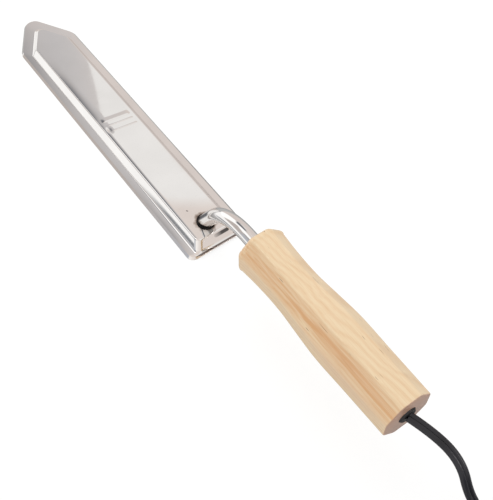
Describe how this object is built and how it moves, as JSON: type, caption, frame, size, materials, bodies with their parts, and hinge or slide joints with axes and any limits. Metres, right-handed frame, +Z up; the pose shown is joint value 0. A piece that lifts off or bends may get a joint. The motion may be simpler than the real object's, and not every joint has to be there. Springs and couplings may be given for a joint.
{
  "type": "electric uncapping knife",
  "caption": "Heated flat stainless blade with a raised back, pointed tip, bent neck tube, eight-sided wooden handle and flat mains cord with a plug.",
  "frame": {"origin": "on the blade's flat underside, straight below the middle of the neck tube's foot", "axes": "+X along the blade towards its point, +Y to the left, +Z up; the knife lies on its blade"},
  "size_m": [0.6418, 0.0706, 0.0593],
  "materials": {
    "stainless": "polished stainless steel sheet",
    "weld_steel": "heat-tinted weld bead",
    "tube_steel": "drawn stainless tube, satin",
    "varnished_wood": "pale wood under clear varnish",
    "glue": "cured epoxy",
    "mica": "pressed mica sheet",
    "resistance_alloy": "rolled resistance ribbon",
    "glass_fibre": "felted glass fibre",
    "brass": "stamped brass",
    "silver": "silver contact",
    "bimetal": "rolled bimetal strip",
    "phenolic": "moulded phenolic",
    "red_insulation": "silicone insulation",
    "blue_insulation": "silicone insulation",
    "tinned_copper": "crimped tinned copper",
    "shrink_sleeve": "heat-shrunk polyolefin",
    "nylon": "moulded nylon",
    "black_rubber": "moulded rubber",
    "black_pvc": "extruded PVC sheath",
    "nickel_plate": "nickel-plated brass"
  },
  "bodies": {
    "knife": {"base_plate": "stainless", "blade_shell": "stainless", "neck_tube": "tube_steel", "neck_weld": "weld_steel", "bond_sleeve": "glue", "handle": "varnished_wood", "live_lead": "red_insulation", "neutral_lead": "blue_insulation", "link_lead": "red_insulation", "live_crimp": "tinned_copper", "neutral_crimp": "tinned_copper", "live_shrink": "shrink_sleeve", "neutral_shrink": "shrink_sleeve", "live_core": "red_insulation", "neutral_core": "blue_insulation", "cord_inner": "black_pvc", "cord_clamp": "nylon", "cord_bushing": "black_rubber", "lower_mica": "mica", "heater_core": "mica", "upper_mica": "mica", "glass_fibre_pad": "glass_fibre", "live_heater_tab": "brass", "neutral_heater_tab": "brass", "heater_ribbon": "resistance_alloy", "thermostat_case": "phenolic", "thermostat_cover": "phenolic", "supply_terminal": "brass", "load_terminal": "brass", "pivot_pin": "brass", "fixed_contact": "silver", "mains_cord": "black_pvc", "cord_tail": "black_pvc", "cord_coil": "black_pvc", "coil_tie": "nylon", "plug_relief": "black_rubber", "plug_body": "black_pvc", "left_pin_sleeve": "black_pvc", "right_pin_sleeve": "black_pvc", "plug_pins": "nickel_plate"},
    "contact_arm": {"bimetal_arm": "bimetal", "moving_contact": "silver"}
  },
  "joints": [
    {"name": "thermostat_contact", "type": "hinge", "parent": "knife", "child": "contact_arm", "pos_m": [0.018, 0, 0.00405], "axis": [0, -1, 0], "range_deg": [0, 3], "stiffness_Nm_per_rad": 0.002, "springref_deg": -2.86}
  ]
}
